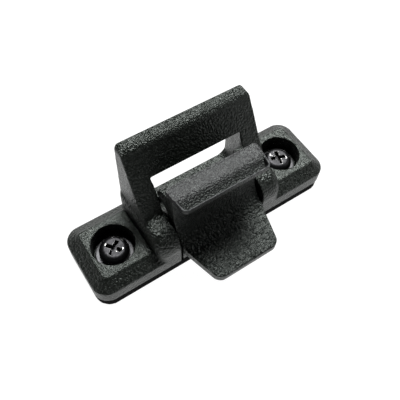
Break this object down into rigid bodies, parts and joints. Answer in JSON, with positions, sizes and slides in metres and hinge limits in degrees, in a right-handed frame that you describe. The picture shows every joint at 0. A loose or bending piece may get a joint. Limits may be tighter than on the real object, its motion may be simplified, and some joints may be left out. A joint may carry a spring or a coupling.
{
  "type": "window squeeze latch",
  "caption": "Surface-mounted squeeze latch for a sliding window: base plate with finger grip and a sprung rocking lever whose tongue hooks a keeper.",
  "frame": {"origin": "middle of the mounting face, on the underside of the gasket, halfway between the two screws", "axes": "+Z out of the pane, +X along the base plate, -Y towards the keeper, the way the tongue points"},
  "size_m": [0.0844, 0.0384, 0.0486],
  "materials": {
    "body_moulding": "black, fine pebble grain",
    "lever_moulding": "black, fine pebble grain",
    "pad_moulding": "dark grey-black, finer grain with worn edges",
    "steel": "ground",
    "spring_steel": "blued drawn wire",
    "acetal": "black, smooth",
    "rubber": "smooth black",
    "black_steel": "black passivated, worn at the recess"
  },
  "bodies": {
    "base": {"latch_body": "body_moulding", "pivot_pin": "steel", "spacer_left": "acetal", "spacer_right": "acetal", "rest_bumper": "rubber", "gasket": "rubber", "screw_washers": "black_steel", "mounting_screws": "black_steel"},
    "lever": {"release_lever": "lever_moulding", "thumb_pad": "pad_moulding", "torsion_spring": "spring_steel"}
  },
  "joints": [
    {"name": "lever_pivot", "type": "hinge", "parent": "base", "child": "lever", "pos_m": [0, -0.0036, 0.0135], "axis": [-1, 0, 0], "range_deg": [0, 20], "stiffness_Nm_per_rad": 0.2, "springref_deg": -34.38, "deforming": ["torsion_spring"]}
  ]
}
